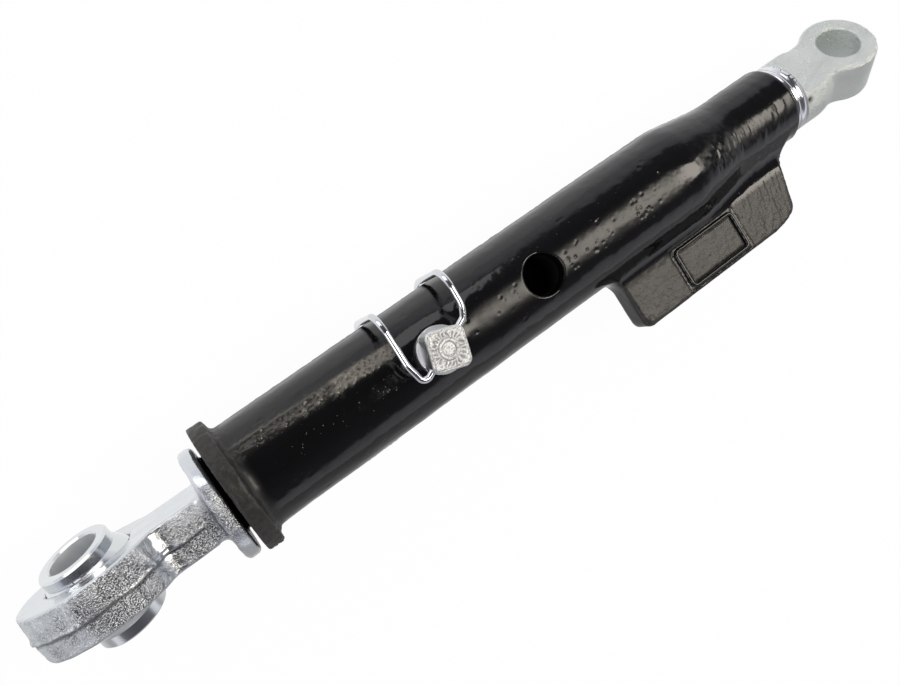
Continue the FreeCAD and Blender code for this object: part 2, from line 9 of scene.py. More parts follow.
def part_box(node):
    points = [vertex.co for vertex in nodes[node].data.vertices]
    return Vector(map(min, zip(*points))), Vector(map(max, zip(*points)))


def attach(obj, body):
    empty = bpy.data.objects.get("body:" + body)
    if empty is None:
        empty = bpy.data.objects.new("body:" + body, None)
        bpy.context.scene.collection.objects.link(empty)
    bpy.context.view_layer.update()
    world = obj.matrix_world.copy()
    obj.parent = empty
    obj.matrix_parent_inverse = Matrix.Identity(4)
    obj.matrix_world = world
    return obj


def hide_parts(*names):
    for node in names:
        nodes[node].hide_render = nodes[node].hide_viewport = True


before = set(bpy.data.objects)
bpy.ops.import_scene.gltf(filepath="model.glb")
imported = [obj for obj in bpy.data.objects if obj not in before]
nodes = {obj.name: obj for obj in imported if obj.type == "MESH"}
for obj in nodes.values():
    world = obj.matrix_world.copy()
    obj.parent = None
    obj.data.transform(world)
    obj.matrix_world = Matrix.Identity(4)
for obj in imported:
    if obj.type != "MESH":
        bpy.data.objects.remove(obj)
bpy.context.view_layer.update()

# Camera. It looks down on the stabilizer from beside the ball end, as the photograph was
# taken, with the pin's head towards the lens and the plain eye far off at the top right.
camera_data = bpy.data.cameras.new("studio_camera")
camera_data.sensor_width = 36.0
camera_data.lens = 36.29
camera_data.clip_start = 0.01
camera_data.clip_end = 50.0
camera = bpy.data.objects.new("studio_camera", camera_data)
bpy.context.scene.collection.objects.link(camera)
camera_right = Vector((0.787517, -0.546594, 0.284695))
camera_up = Vector((0.562160, 0.826422, 0.031637))
camera_back = Vector((-0.252572, 0.135129, 0.958095))
camera_place = Vector((-0.42167, 0.06046, 0.45928))
camera.matrix_world = Matrix((
    (camera_right.x, camera_up.x, camera_back.x, camera_place.x),
    (camera_right.y, camera_up.y, camera_back.y, camera_place.y),
    (camera_right.z, camera_up.z, camera_back.z, camera_place.z),
    (0.0, 0.0, 0.0, 1.0)))
bpy.context.scene.camera = camera


# Studio. A white sweep lies under the part. The camera sees it as plain white, and polished
# metal sees it darker on the near side, a painted shadow of the part in its reflection. The
# room is dark overhead, round three soft boxes.
def shader_tree(owner):
    owner.use_nodes = True
    tree = owner.node_tree
    tree.nodes.clear()
    return tree


def add_node(tree, kind, inputs=None, **settings):
    item = tree.nodes.new(kind)
    for name, value in settings.items():
        setattr(item, name, value)
    for key, value in (inputs or {}).items():
        if isinstance(value, bpy.types.NodeSocket):
            tree.links.new(value, item.inputs[key])
        else:
            item.inputs[key].default_value = value
    return item


def ramp(tree, value, stops):
    item = add_node(tree, "ShaderNodeValToRGB", {"Fac": value})
    marks = item.color_ramp.elements
    while len(marks) < len(stops):
        marks.new(0.5)
    for mark, (place, colour) in zip(marks, stops):
        mark.position = place
        mark.color = colour
    return item


world = bpy.data.worlds.new("studio_room")
bpy.context.scene.world = world
tree = shader_tree(world)
way = add_node(tree, "ShaderNodeTexCoord")
split = add_node(tree, "ShaderNodeSeparateXYZ", {0: way.outputs["Generated"]})
height = add_node(tree, "ShaderNodeMapRange", {
    "Value": split.outputs["Z"], "From Min": -0.2, "From Max": 1.0})
room_glow = ramp(tree, height.outputs[0], [
    (0.0, (0.88, 0.88, 0.92, 1.0)),
    (0.34, (0.80, 0.80, 0.86, 1.0)),
    (0.45, (0.62, 0.62, 0.68, 1.0)),
    (0.53, (0.15, 0.15, 0.17, 1.0)),
    (1.0, (0.042, 0.042, 0.048, 1.0))])
mirrored = add_node(tree, "ShaderNodeBackground", {
    "Color": room_glow.outputs["Color"], "Strength": 1.0})
soft_fill = add_node(tree, "ShaderNodeBackground", {"Color": (0.44, 0.44, 0.45, 1.0), "Strength": 1.0})
white = add_node(tree, "ShaderNodeBackground", {"Color": (1.0, 1.0, 1.0, 1.0), "Strength": 1.0})
path = add_node(tree, "ShaderNodeLightPath")
room = add_node(tree, "ShaderNodeMixShader", {
    0: path.outputs["Is Glossy Ray"], 1: soft_fill.outputs[0], 2: mirrored.outputs[0]})
seen_room = add_node(tree, "ShaderNodeMixShader", {
    0: path.outputs["Is Camera Ray"], 1: room.outputs[0], 2: white.outputs[0]})
add_node(tree, "ShaderNodeOutputWorld", {"Surface": seen_room.outputs[0]})

sweep_size = 6.0
sweep_height = -0.0465
sweep_glow_share = 0.97
near_glow = 0.42
near_glow_y = -0.09
full_glow_y = 0.02
sweep_mesh = bpy.data.meshes.new("white_sweep")
sweep_mesh.from_pydata(
    [(-sweep_size, -sweep_size, sweep_height), (sweep_size, -sweep_size, sweep_height),
     (sweep_size, sweep_size, sweep_height), (-sweep_size, sweep_size, sweep_height)],
    [], [(0, 1, 2, 3)])
sweep = bpy.data.objects.new("white_sweep", sweep_mesh)
bpy.context.scene.collection.objects.link(sweep)
sweep_paint = bpy.data.materials.new("white_sweep")
tree = shader_tree(sweep_paint)
lit = add_node(tree, "ShaderNodeBsdfDiffuse", {"Color": (0.82, 0.82, 0.82, 1.0)})
path = add_node(tree, "ShaderNodeLightPath")
place = add_node(tree, "ShaderNodeTexCoord")
split = add_node(tree, "ShaderNodeSeparateXYZ", {0: place.outputs["Object"]})
# Painted shadow: for reflections the sweep glows dimmer on the part's near side
near_shadow_ramp = add_node(tree, "ShaderNodeMapRange", {
    "Value": split.outputs["Y"], "From Min": near_glow_y, "From Max": full_glow_y,
    "To Min": near_glow, "To Max": 1.0})
glow = add_node(tree, "ShaderNodeMath", {
    0: near_shadow_ramp.outputs["Result"], 1: path.outputs["Is Camera Ray"]}, operation="MAXIMUM")
bright = add_node(tree, "ShaderNodeEmission", {
    "Color": (1.0, 1.0, 1.0, 1.0), "Strength": glow.outputs[0]})
seen = add_node(tree, "ShaderNodeMath", {
    0: path.outputs["Is Camera Ray"], 1: path.outputs["Is Glossy Ray"]}, operation="MAXIMUM")
seen = add_node(tree, "ShaderNodeMath", {
    0: seen.outputs[0], 1: path.outputs["Is Transmission Ray"]}, operation="MAXIMUM")
share = add_node(tree, "ShaderNodeMath", {
    0: seen.outputs[0], 1: sweep_glow_share}, operation="MULTIPLY")
sweep_mix = add_node(tree, "ShaderNodeMixShader", {
    0: share.outputs[0], 1: lit.outputs[0], 2: bright.outputs[0]})
add_node(tree, "ShaderNodeOutputMaterial", {"Surface": sweep_mix.outputs[0]})
sweep_mesh.materials.append(sweep_paint)


def soft_box(name, place, target, width, height, power, tint):
    lamp = bpy.data.lights.new(name, "AREA")
    lamp.shape = "RECTANGLE"
    lamp.size = width
    lamp.size_y = height
    lamp.energy = power
    lamp.color = tint
    box = bpy.data.objects.new(name, lamp)
    bpy.context.scene.collection.objects.link(box)
    back = (Vector(place) - Vector(target)).normalized()
    side = Vector((0.0, 1.0, 0.0)).cross(back).normalized()
    top = back.cross(side)
    box.matrix_world = Matrix((
        (side.x, top.x, back.x, place[0]),
        (side.y, top.y, back.y, place[1]),
        (side.z, top.z, back.z, place[2]),
        (0.0, 0.0, 0.0, 1.0)))
    return box


soft_box("key_box", (0.42, -0.17, 1.2), (-0.2, 0.0, 0.0), 0.95, 0.55, 12.0, (1.0, 0.93, 0.83))
soft_box("end_box", (-1.32, -0.15, 0.82), (-0.52, 0.0, 0.02), 0.72, 0.42, 2.9, (1.0, 0.99, 0.97))
soft_box("side_box", (-0.55, 1.0, 0.62), (-0.35, 0.0, 0.0), 1.5, 0.55, 4.2, (0.97, 0.95, 0.95))

# Outer casting. One iron casting with the end flange, tube, neck and side lug. Its outside
# keeps the sand's bumps, pits and the rough line left by the mould, all under gloss paint.
MM = 0.001
flange_face = -436.0
flange_back = -427.0
flange_radius = 35.75
tube_radius = 29.0
cone_start = -138.0
neck_start = -102.0
neck_end = -57.0
neck_radius = 23.5
tube_start = -432.0
tube_rim = 1.4
neck_blend = 0.8
flange_rim = 1.6
flange_root = 4.7
lug_left = -203.0
lug_half = 8.0
lug_reach = 62.5
lug_inner = -12.0
lug_end = -83.2
lug_end_way = (0.967, 0.255)
lug_slant = -95.0
lug_slant_way = (0.34, 0.94)
lug_corner = 5.9
lug_slant_blend = 3.0
lug_edge = 2.6
lug_root = 10.0
hole_places = (-315.0, -246.5)
hole_radius = 11.2
hole_lip = 1.4
bore_mouth = 24.0
bore_radius = 21.5
bore_end = -140.0
neck_bore_start = -132.0
neck_bore = 15.3
frame_middle = (-143.5, -47.1)
frame_size = (46.0, 25.0)
skin_step = 1.25


def soft_min(a, b, width):
    share = np.clip(0.5 + 0.5 * (b - a) / width, 0.0, 1.0)
    return b + (a - b) * share - width * share * (1.0 - share)


def soft_max(a, b, width):
    return -soft_min(-a, -b, width)


def rounded(a, b, radius):
    a = a + radius
    b = b + radius
    outside = np.hypot(np.maximum(a, 0.0), np.maximum(b, 0.0))
    return np.minimum(np.maximum(a, b), 0.0) + outside - radius


def casting_skin(p):
    x, y, z = p.T
    away = np.hypot(y, z)
    slope = (neck_radius - tube_radius) / (neck_start - cone_start)
    cone = tube_radius + slope * (x - cone_start)
    wall = soft_max(neck_radius, soft_min(tube_radius, cone, neck_blend), neck_blend)
    tube_middle = 0.5 * (tube_start + neck_end)
    tube_half = 0.5 * (neck_end - tube_start)
    tube = rounded(away - wall, np.abs(x - tube_middle) - tube_half, tube_rim)
    flange_middle = 0.5 * (flange_face + flange_back)
    flange_half = 0.5 * (flange_back - flange_face)
    flange = rounded(away - flange_radius, np.abs(x - flange_middle) - flange_half, flange_rim)
    body = soft_min(tube, flange, flange_root)
    up = y + lug_reach
    plan = soft_max(lug_left - x, -lug_reach - y, lug_corner)
    plan = soft_max(plan, (x - lug_end) * lug_end_way[0] - up * lug_end_way[1], lug_corner)
    plan = soft_max(
        plan, (x - lug_slant) * lug_slant_way[0] - up * lug_slant_way[1], lug_slant_blend)
    plate = soft_max(plan, np.abs(z) - lug_half, lug_edge)
    plate = np.maximum(plate, y - lug_inner)
    return soft_min(body, plate, lug_root)


def hole_gap(p):
    return np.minimum(*(np.hypot(p[:, 0] - place, p[:, 1]) for place in hole_places))


def downhill(field, p):
    step = 0.05
    slopes = []
    for axis in range(3):
        shift = np.zeros(3)
        shift[axis] = step
        slopes.append((field(p + shift) - field(p - shift)) / (2.0 * step))
    return np.stack(slopes, axis=1)


def settle(field, p, rounds=6):
    for _ in range(rounds):
        slope = downhill(field, p)
        size = np.maximum((slope ** 2).sum(axis=1), 0.04)
        p = p - slope * (field(p) / size)[:, None]
    return p


def ripple(p, length, seed, waves=20, squeeze=(1.0, 1.0, 1.0)):
    draw = np.random.default_rng(seed)
    ways = draw.normal(size=(waves, 3))
    ways /= np.linalg.norm(ways, axis=1)[:, None]
    steps = 2.0 * math.pi / (length * draw.uniform(0.7, 1.5, waves))
    phases = draw.uniform(0.0, 2.0 * math.pi, waves)
    p = p * np.array(squeeze)
    total = np.zeros(len(p))
    for direction, step, phase in zip(ways, steps, phases):
        total += np.cos(p @ direction * step + phase)
    return total / math.sqrt(waves / 2.0)


def bell(distance, width):
    return np.exp(-(distance / width) ** 2)


def inside(value, low, high, edge):
    up = np.clip((value - low) / edge + 0.5, 0.0, 1.0)
    down = np.clip((high - value) / edge + 0.5, 0.0, 1.0)
    return up * down


def turned_shell(profile, segments):
    points = []
    faces = []
    for x, radius in profile:
        for i in range(segments):
            turn = 2.0 * math.pi * i / segments
            points.append((x * MM, radius * math.sin(turn) * MM, radius * math.cos(turn) * MM))
    for row in range(len(profile) - 1):
        for i in range(segments):
            j = (i + 1) % segments
            a = row * segments
            faces.append((a + i, a + j, a + segments + j, a + segments + i))
    last = (len(profile) - 1) * segments
    faces.append(tuple(reversed(range(segments))))
    faces.append(tuple(last + i for i in range(segments)))
    return points, faces


def box_shell(low, high):
    (x0, y0, z0), (x1, y1, z1) = low, high
    points = [(x * MM, y * MM, z * MM) for x in (x0, x1) for y in (y0, y1) for z in (z0, z1)]
    faces = [(0, 1, 3, 2), (4, 6, 7, 5), (0, 4, 5, 1), (2, 3, 7, 6), (0, 2, 6, 4), (1, 5, 7, 3)]
    return points, faces


def joined(*shells):
    points = []
    faces = []
    for shell_points, shell_faces in shells:
        start = len(points)
        points += shell_points
        faces += [tuple(start + i for i in face) for face in shell_faces]
    return points, faces


def shell_mesh(name, shell):
    mesh = bpy.data.meshes.new(name)
    mesh.from_pydata(shell[0], [], shell[1])
    tidy = bmesh.new()
    tidy.from_mesh(mesh)
    bmesh.ops.recalc_face_normals(tidy, faces=tidy.faces)
    tidy.to_mesh(mesh)
    tidy.free()
    return mesh


def add_piece(name, mesh):
    piece = bpy.data.objects.new(name, mesh)
    bpy.context.scene.collection.objects.link(piece)
    return piece


def finished_mesh(piece):
    graph = bpy.context.evaluated_depsgraph_get()
    mesh = bpy.data.meshes.new_from_object(piece.evaluated_get(graph))
    bpy.data.objects.remove(piece)
    return mesh


def fine_skin(mesh, step):
    piece = add_piece("skin_start", mesh)
    skin = piece.modifiers.new("skin", "REMESH")
    skin.mode = "VOXEL"
    skin.voxel_size = step * MM
    return finished_mesh(piece)


def places(mesh):
    flat = np.empty(len(mesh.vertices) * 3)
    mesh.vertices.foreach_get("co", flat)
    return flat.reshape(-1, 3) / MM


def put_places(mesh, p):
    mesh.vertices.foreach_set("co", (p * MM).ravel())
    mesh.update()


def finer(mesh, wanted):
    shell = bmesh.new()
    shell.from_mesh(mesh)
    shell.verts.ensure_lookup_table()
    faces = [f for f in shell.faces if all(wanted[v.index] for v in f.verts)]
    edges = list({e for f in faces for e in f.edges})
    bmesh.ops.subdivide_edges(shell, edges=edges, cuts=1, use_grid_fill=True)
    big = [f for f in shell.faces if len(f.verts) > 4]
    bmesh.ops.triangulate(shell, faces=big)
    shell.to_mesh(mesh)
    shell.free()
    return mesh


def cut_away(mesh, name, shell):
    piece = add_piece("cut_start", mesh)
    tool = add_piece(name, shell_mesh(name, shell))
    cut = piece.modifiers.new("cut", "BOOLEAN")
    cut.operation = "DIFFERENCE"
    cut.solver = "EXACT"
    cut.object = tool
    result = finished_mesh(piece)
    bpy.data.objects.remove(tool)
    return result


def shade(mesh, angle):
    mesh.polygons.foreach_set("use_smooth", [True] * len(mesh.polygons))
    mesh.set_sharp_from_angle(angle=math.radians(angle))
    mesh.update()


def mark(mesh, name, values):
    layer = mesh.attributes.new(name, "FLOAT", "POINT")
    layer.data.foreach_set("value", np.asarray(values, dtype=np.float32))


start_shape = joined(
    turned_shell([(flange_face, flange_radius), (flange_back, flange_radius),
                  (flange_back + 0.1, tube_radius), (cone_start, tube_radius),
                  (neck_start, neck_radius), (neck_end, neck_radius)], 96),
    box_shell((lug_left, -lug_reach, -lug_half), (-78.0, -14.0, lug_half)))
casting_mesh = fine_skin(shell_mesh("casting_start", start_shape), skin_step)
p = settle(casting_skin, places(casting_mesh))
turn = np.degrees(np.arctan2(p[:, 1], p[:, 2]))
near_hole = hole_gap(p)
lug_face = (p[:, 2] > 6.0) & (p[:, 1] < -30.0) & (p[:, 0] > -206.0)
top_band = (np.abs(turn + 1.0) < 22.0) & (p[:, 0] > -298.0) & (p[:, 0] < -138.0)
seam_area = (turn > 16.0) & (turn < 46.0) & (p[:, 0] > -428.0) & (p[:, 0] < -328.0)
put_places(casting_mesh, p)
neck_band = (np.abs(turn + 10.0) < 20.0) & (p[:, 0] > -126.0) & (p[:, 0] < -62.0)
casting_mesh = finer(
    casting_mesh, lug_face | top_band | seam_area | neck_band | (near_hole < 14.5))
p = settle(casting_skin, places(casting_mesh))
out = downhill(casting_skin, p)
out /= np.linalg.norm(out, axis=1)[:, None]
x, y, z = p.T
away = np.hypot(y, z)
turn = np.degrees(np.arctan2(y, z))
on_face = inside(np.abs(z), 6.8, 20.0, 1.0) * inside(-y, 33.5, 70.0, 3.0)
on_face *= inside(x, -205.0, -70.0, 1.0)
on_tube = 1.0 - on_face
on_neck = inside(x, -112.0, -50.0, 16.0)

# Waves and grain that the sand left, in millimetres
lift = on_tube * (1.0 - 0.6 * on_neck) * (0.05 * ripple(p, 26.0, 11) + 0.018 * ripple(p, 6.0, 12))
lift += on_tube * 0.035 * ripple(p, 7.0, 18, squeeze=(0.14, 1.0, 1.0))
lift += on_neck * 0.03 * ripple(p, 5.0, 13, squeeze=(1.0, 0.25, 0.25))
wrinkled = on_face * inside(x, -118.0, -60.0, 14.0)
lift += on_face * (1.0 - wrinkled) * (0.04 * ripple(p, 3.6, 14) + 0.02 * ripple(p, 2.0, 15))
lift += wrinkled * (0.075 * ripple(p, 2.6, 16, squeeze=(1.0, 0.5, 1.0)) + 0.03 * ripple(p, 2.0, 17))

# Rough line left by the mould, which climbs a little along the tube and ends in a broad patch
line_start = -424.0
line_end = -336.0
line_turn = 35.5
line_climb = 6.5
line_length = 87.5
seam_turn = line_turn - (x - line_start - 1.0) / line_length * line_climb
seam = (turn - seam_turn) * math.pi / 180.0 * tube_radius
seam_run = inside(x, line_start, line_end, 6.0)
seam_end = inside(x, -367.0, -334.0, 5.0) * inside(seam, -4.2, 2.8, 2.0)
grit = ripple(p, 2.0, 21)
coarse = ripple(p, 5.0, 22)
lift += seam_run * bell(seam - 1.5, 0.9) * (0.60 + 0.12 * grit)
lift -= seam_run * bell(seam + 0.1, 0.7) * 0.35
lift += seam_run * (1.0 - seam_end) * bell(seam + 2.4 + 0.8 * coarse, 1.5) * (0.50 + 0.26 * grit)
rough_seam = seam_run * np.clip(1.0 - np.abs(seam) / 7.0, 0.0, 1.0)
lift += rough_seam * 0.10 * grit
lift += seam_end * (0.34 + 0.14 * grit + 0.10 * coarse)

# Pitted band on top, streaked neck, parting line and bumpy flange
band = inside(turn, -16.0, 14.0, 10.0) * inside(x, -296.0, -148.0, 14.0)
rough_band = band * np.clip(0.5 + (x + 215.0) / 90.0, 0.15, 1.0)
lift += rough_band * (0.017 * ripple(p, 2.4, 31) + 0.02 * ripple(p, 7.0, 32))
lift += inside(x, -128.0, -64.0, 8.0) * bell(turn + 10.0, 16.0) * 0.085 * ripple(
    p, 2.5, 33, squeeze=(1.0, 0.35, 0.35))
off_lug = np.where(y > 0.0, 1.0, inside(x, line_start, -212.0, 4.0))
parting = bell(z - 1.2, 0.9) * inside(x, line_start, -60.0, 4.0) * off_lug
lift += parting * (0.42 + 0.08 * grit)
lift += inside(x, -372.0, -352.0, 2.0) * bell(turn + 92.0, 9.0) * 0.45
on_flange = inside(x, -440.0, -425.0, 2.0)
lift += on_flange * (0.15 * ripple(p, 3.2, 41) + 0.10 * coarse)

# Grooves on both sides of the raised frame's bars, and the bump on the lug's corner
past_x = np.abs(x - frame_middle[0]) - frame_size[0] / 2.0
past_y = np.abs(y - frame_middle[1]) - frame_size[1] / 2.0
outer_groove = bell(np.maximum(past_x - 0.9, past_y - 0.9), 1.45)
inner_groove = bell(np.maximum(past_x + 2.1, past_y + 2.1), 1.1)
groove = on_face * (z > 0.0) * np.maximum(outer_groove, inner_groove)
lift -= groove * 0.6
lift += bell(np.hypot(x + 198.5, y + 59.0), 2.6) * (z > 5.0) * 0.9

# Pits, scattered with a fixed seed
draw = np.random.default_rng(77)
pit_depth = np.zeros(len(p))


def add_pits(count, low_x, high_x, low_turn, high_turn, small, large):
    for _ in range(count):
        px = draw.uniform(low_x, high_x)
        pt = math.radians(draw.uniform(low_turn, high_turn))
        radius = draw.uniform(small, large)
        centre = np.array([px, tube_radius * math.sin(pt), tube_radius * math.cos(pt)])
        gap = np.linalg.norm(p - centre, axis=1)
        np.maximum(pit_depth, bell(gap, radius) * radius * 0.65, out=pit_depth)


add_pits(38, -236.0, -166.0, -14.0, 14.0, 0.45, 0.8)
add_pits(12, -300.0, -258.0, -12.0, 12.0, 0.4, 0.65)
add_pits(10, -232.0, -150.0, 14.0, 42.0, 0.5, 0.8)
add_pits(40, -425.0, -150.0, -60.0, 70.0, 0.4, 0.7)
lift -= pit_depth

# Rounded lips of the cross holes
lip = np.clip(hole_radius + hole_lip - hole_gap(p), 0.0, hole_lip) * (away > 26.0)
lift -= hole_lip - np.sqrt(np.maximum(hole_lip ** 2 - lip ** 2, 0.0))
p = p + out * lift[:, None]
p[:, 0] = np.clip(p[:, 0], flange_face, neck_end)
p[:, 1] = np.clip(p[:, 1], -lug_reach, flange_radius)
p[:, 2] = np.clip(p[:, 2], -flange_radius, flange_radius)
put_places(casting_mesh, p)

# Where the paint is rough, where it is satin, where pits and grooves get painted shade, and where it
# is dusty with painted highlight
rough = rough_seam * 0.9 + seam_end + 0.75 * on_face + 0.6 * on_flange
mark(casting_mesh, "rough", np.clip(rough, 0.0, 1.0))
satin = 0.75 * band + 0.6 * on_face * (1.0 - groove) + 0.6 * on_neck * bell(turn + 10.0, 20.0)
satin += 0.9 * inside(x, -440.0, -421.0, 4.0)
patches = np.clip(0.45 + 0.3 * ripple(p, 4.0, 35), 0.0, 1.0)
satin += inside(x, -134.0, -98.0, 18.0) * bell(turn, 30.0) * patches
mark(casting_mesh, "satin", np.clip(satin, 0.0, 1.0))
# Painted shade: pits and the frame's grooves are darkened
mark(casting_mesh, "recess_shade_and_specks", np.clip(pit_depth * 2.0 + groove, 0.0, 1.0))
# Dust on the mould line's lumps and end patch, lighter beige that also stands in as painted highlight
lumps = seam_run * bell(seam + 2.6 + 0.8 * coarse, 1.8) * np.clip(0.40 + 0.3 * grit, 0.0, 1.0)
lumps *= np.clip((x + 418.0) / 40.0, 0.15, 1.0)
dust_and_highlight_share = seam_end * np.clip(0.80 + 0.30 * grit, 0.0, 1.0) + lumps
# Painted highlight along the top of the mould line's ridge
dust_and_highlight_share += 0.25 * seam_run * bell(seam - 1.6, 0.7)
mark(casting_mesh, "dust_and_highlight", np.clip(dust_and_highlight_share, 0.0, 1.0))

# The bore and both cross holes. Their walls are marked hollow and get no gloss, so they stay black as
# painted shade inside the holes
casting_mesh = cut_away(casting_mesh, "bore_tool", turned_shell(
    [(flange_face - 1.0, bore_mouth), (flange_face + 1.5, bore_radius), (bore_end, bore_radius),
     (neck_bore_start, neck_bore), (neck_end + 1.0, neck_bore)], 96))
hole_half = 45.0
for number, place in enumerate(hole_places):
    hole_points, hole_faces = turned_shell([(-hole_half, hole_radius), (hole_half, hole_radius)], 72)
    hole_points = [(place * MM - c, b, a) for a, b, c in hole_points]
    casting_mesh = cut_away(casting_mesh, "hole_tool_%d" % number, (hole_points, hole_faces))
p = places(casting_mesh)
hollow = (np.hypot(p[:, 1], p[:, 2]) < bore_radius + 0.8) | (hole_gap(p) < hole_radius + 0.3)
mark(casting_mesh, "hollow", hollow * 1.0)
shade(casting_mesh, 48.0)
casting_mesh.name = "casting_skin"
casting_piece = add_piece("casting_skin", casting_mesh)


def paint_casting():
    paint = bpy.data.materials.new("gloss_black_paint")
    tree = shader_tree(paint)
    place = add_node(tree, "ShaderNodeTexCoord")
    rough = add_node(tree, "ShaderNodeAttribute", attribute_name="rough")
    recess_shade_and_specks = add_node(tree, "ShaderNodeAttribute", attribute_name="recess_shade_and_specks")
    satin = add_node(tree, "ShaderNodeAttribute", attribute_name="satin")
    waves = add_node(tree, "ShaderNodeTexNoise", {
        "Vector": place.outputs["Object"], "Scale": 110.0, "Detail": 2.0, "Roughness": 0.5})
    grains = add_node(tree, "ShaderNodeTexNoise", {
        "Vector": place.outputs["Object"], "Scale": 700.0, "Detail": 3.0, "Roughness": 0.6})
    grain_height = add_node(tree, "ShaderNodeMath", {
        0: grains.outputs["Fac"], 1: rough.outputs["Fac"]}, operation="MULTIPLY")
    specks = add_node(tree, "ShaderNodeTexVoronoi", {
        "Vector": place.outputs["Object"], "Scale": 330.0})
    speck_holes = add_node(tree, "ShaderNodeMapRange", {
        "Value": specks.outputs["Distance"], "From Min": 0.0, "From Max": 0.13,
        "To Min": -1.0, "To Max": 0.0})
    bumps = add_node(tree, "ShaderNodeBump", {
        "Height": waves.outputs["Fac"], "Strength": 0.16, "Distance": 0.0015})
    bumps = add_node(tree, "ShaderNodeBump", {
        "Height": grain_height.outputs[0], "Normal": bumps.outputs[0],
        "Strength": 0.5, "Distance": 0.0006})
    bumps = add_node(tree, "ShaderNodeBump", {
        "Height": speck_holes.outputs["Result"], "Normal": bumps.outputs[0],
        "Strength": 0.22, "Distance": 0.0004})
    dull = add_node(tree, "ShaderNodeMath", {
        0: rough.outputs["Fac"], 1: 0.18, 2: 0.055}, operation="MULTIPLY_ADD")
    dull = add_node(tree, "ShaderNodeMath", {
        0: satin.outputs["Fac"], 1: 0.33, 2: dull.outputs[0]}, operation="MULTIPLY_ADD")
    dull = add_node(tree, "ShaderNodeMath", {
        0: waves.outputs["Fac"], 1: 0.07, 2: dull.outputs[0]}, operation="MULTIPLY_ADD")
    # Beige dust, partly painted highlight on the mould line
    dust_and_highlight = add_node(tree, "ShaderNodeAttribute", attribute_name="dust_and_highlight")
    colour = add_node(tree, "ShaderNodeMix", {
        0: grain_height.outputs[0], 6: (0.0028, 0.0028, 0.0032, 1.0),
        7: (0.050, 0.046, 0.038, 1.0)}, data_type="RGBA")
    colour = add_node(tree, "ShaderNodeMix", {
        0: dust_and_highlight.outputs["Fac"], 6: colour.outputs[2], 7: (0.150, 0.138, 0.120, 1.0)}, data_type="RGBA")
    # Painted shade in pits and grooves, near black
    colour = add_node(tree, "ShaderNodeMix", {
        0: recess_shade_and_specks.outputs["Fac"], 6: colour.outputs[2], 7: (0.002, 0.002, 0.002, 1.0)}, data_type="RGBA")
    hollow = add_node(tree, "ShaderNodeAttribute", attribute_name="hollow")
    # Painted shade: the bore and hole walls lose all gloss and stay black
    shine = add_node(tree, "ShaderNodeMath", {
        0: hollow.outputs["Fac"], 1: -0.5, 2: 0.5}, operation="MULTIPLY_ADD")
    surface = add_node(tree, "ShaderNodeBsdfPrincipled", {
        "Base Color": colour.outputs[2], "Roughness": dull.outputs[0], "IOR": 1.5,
        "Specular IOR Level": shine.outputs[0], "Normal": bumps.outputs[0]})
    add_node(tree, "ShaderNodeOutputMaterial", {"Surface": surface.outputs[0]})
    return paint


def dress(piece, *materials):
    mesh = piece.data
    chosen = [0] * len(mesh.polygons)
    if len(materials) > 1:
        mesh.polygons.foreach_get("material_index", chosen)
    mesh.materials.clear()
    for material in materials:
        mesh.materials.append(material)
    if len(materials) > 1:
        mesh.polygons.foreach_set("material_index", chosen)


black_paint = paint_casting()
dress(casting_piece, black_paint)
dress(nodes["outer_casting"], black_paint)
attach(casting_piece, "casting")
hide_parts("outer_casting")

# Raised frame on the lug. A plain empty border cast on the lug's face, thick with paint, so
# its bars are round and glossier than the face round them.
frame_bar = 2.5
frame_middle_level = 8.0
frame_top = 9.45
frame_foot = 7.3
frame_corner = 2.6


def frame_ring(steps):
    half_x = frame_size[0] / 2.0 - frame_bar / 2.0
    half_y = frame_size[1] / 2.0 - frame_bar / 2.0
    corners = ((1, 1, 0), (-1, 1, 90), (-1, -1, 180), (1, -1, 270))
    ring = []
    for sx, sy, start in corners:
        cx = sx * (half_x - frame_corner)
        cy = sy * (half_y - frame_corner)
        for i in range(steps + 1):
            angle = math.radians(start + 90.0 * i / steps)
            outward = (math.cos(angle), math.sin(angle))
            ring.append((cx + frame_corner * outward[0], cy + frame_corner * outward[1], outward))
    dense = []
    for (x0, y0, out0), (x1, y1, out1) in zip(ring, ring[1:] + ring[:1]):
        length = math.hypot(x1 - x0, y1 - y0)
        count = max(1, int(length / 0.6))
        for i in range(count):
            t = i / count
            way = Vector((
                out0[0] * (1 - t) + out1[0] * t, out0[1] * (1 - t) + out1[1] * t)).normalized()
            dense.append((x0 + (x1 - x0) * t, y0 + (y1 - y0) * t, way))
    return dense


ring = frame_ring(8)
section = [(-1.0, frame_foot)]
for i in range(9):
    angle = math.pi * (1.0 - i / 8.0)
    rise = (frame_top - frame_middle_level) * math.sin(angle)
    section.append((math.cos(angle), frame_middle_level + rise))
section.append((1.0, frame_foot))
points = []
for cx, cy, way in ring:
    wobble = 0.10 * math.sin(cx * 0.9) + 0.08 * math.sin(cy * 1.3 + 1.0)
    for offset, level in section:
        side = offset * frame_bar / 2.0 + wobble * 0.5
        points.append((
            (frame_middle[0] + cx + way[0] * side) * MM,
            (frame_middle[1] + cy + way[1] * side) * MM,
            level * MM))
wide = len(section)
faces = []
for i in range(len(ring)):
    j = (i + 1) % len(ring)
    for k in range(wide):
        n = (k + 1) % wide
        faces.append((i * wide + k, i * wide + n, j * wide + n, j * wide + k))
frame_mesh = shell_mesh("lug_frame", (points, faces))
shade(frame_mesh, 60.0)
lug_frame = add_piece("lug_frame", frame_mesh)
dress(lug_frame, black_paint)
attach(lug_frame, "casting")
